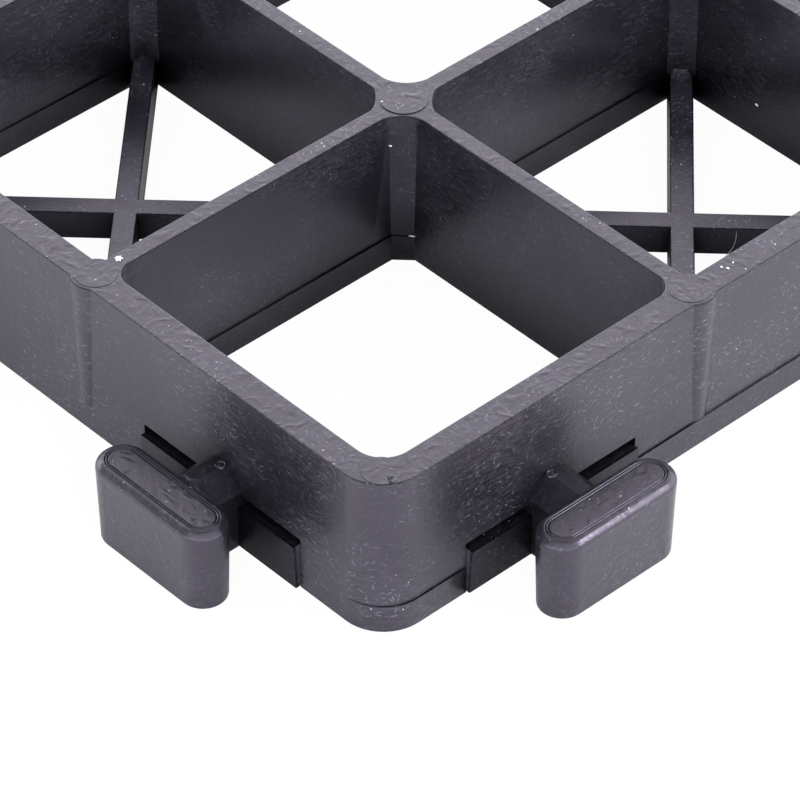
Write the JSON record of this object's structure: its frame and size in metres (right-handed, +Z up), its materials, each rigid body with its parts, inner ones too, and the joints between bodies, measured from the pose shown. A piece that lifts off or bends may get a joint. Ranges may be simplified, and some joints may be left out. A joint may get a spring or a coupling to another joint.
{
  "type": "grass paver grid",
  "caption": "Square moulded plastic ground grid of open and cross-barred cells, with T-shaped lugs on two sides that drop into slots of the next panel.",
  "frame": {"origin": "middle of the part's footprint, lugs included, on the plane it lies on", "axes": "+Z up, lugs on the -X and -Y sides, slots on the +X and +Y sides"},
  "size_m": [0.5374, 0.5374, 0.046],
  "materials": {
    "black_polyethylene": "moulded recycled polyethylene, satin, scuffed and dusty"
  },
  "bodies": {
    "root": {"paver_grid": "black_polyethylene"}
  },
  "joints": []
}
